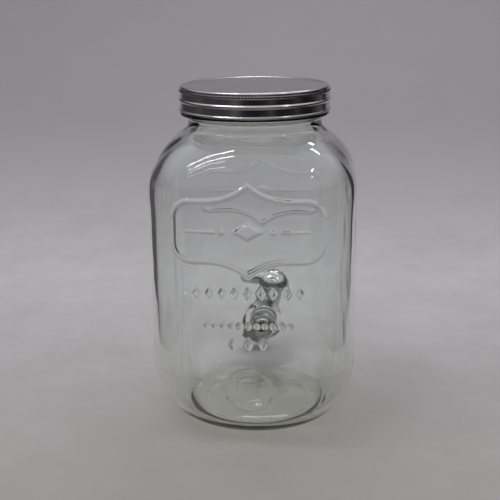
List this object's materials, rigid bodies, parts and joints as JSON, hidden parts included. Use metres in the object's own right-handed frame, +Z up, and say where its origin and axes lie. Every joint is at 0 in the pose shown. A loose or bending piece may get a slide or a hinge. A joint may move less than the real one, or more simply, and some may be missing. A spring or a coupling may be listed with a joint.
{
  "type": "detergent dispenser bottle",
  "caption": "Clear glass dispenser jar, square with soft corners, with a moulded plaque, a metal screw lid and a chrome quarter-turn tap low on one wall.",
  "frame": {"origin": "centre of the jar's base, on the surface it stands on", "axes": "+Z up along the jar, +Y from the jar towards the tap, the plain front face towards -Y"},
  "size_m": [0.154, 0.2146, 0.2581],
  "materials": {
    "glass": "clear soda-lime glass with a faint green tint",
    "tinplate": "satin tinplate",
    "liner_foam": "white foamed polyethylene",
    "chrome": "polished chrome plate",
    "silicone": "translucent silicone",
    "natural_plastic": "natural polypropylene",
    "acetal": "white acetal",
    "seal_rubber": "black nitrile",
    "stainless": "stainless steel"
  },
  "bodies": {
    "jar": {"glass_jar": "glass", "tap_body": "chrome", "tap_outer_washer": "silicone", "tap_inner_washer": "silicone", "tap_slip_ring": "natural_plastic", "tap_lock_nut": "chrome", "valve_bonnet": "chrome"},
    "liner": {"lid_liner": "liner_foam"},
    "lid": {"lid_shell": "tinplate"},
    "valve": {"valve_plug": "acetal", "plug_seal_upper": "seal_rubber", "plug_seal_lower": "seal_rubber", "tap_handle": "chrome", "handle_screw": "stainless", "handle_cap": "chrome"}
  },
  "joints": [
    {"name": "lid_rise", "type": "slide", "parent": "jar", "child": "liner", "axis": [0, 0, 1], "range_m": [0, 0.0204]},
    {"name": "lid_turn", "type": "hinge", "parent": "liner", "child": "lid", "pos_m": [0, 0, 0.2553], "axis": [0, 0, 1], "range_deg": [0, 1440]},
    {"name": "tap_turn", "type": "hinge", "parent": "jar", "child": "valve", "pos_m": [0, 0.1216, 0.0445], "axis": [-0.3173, 0, -0.9483], "range_deg": [0, 90]}
  ],
  "couplings": [
    {"joint": "lid_rise", "follows": "lid_turn", "m_per_rad": 0.00080851}
  ]
}
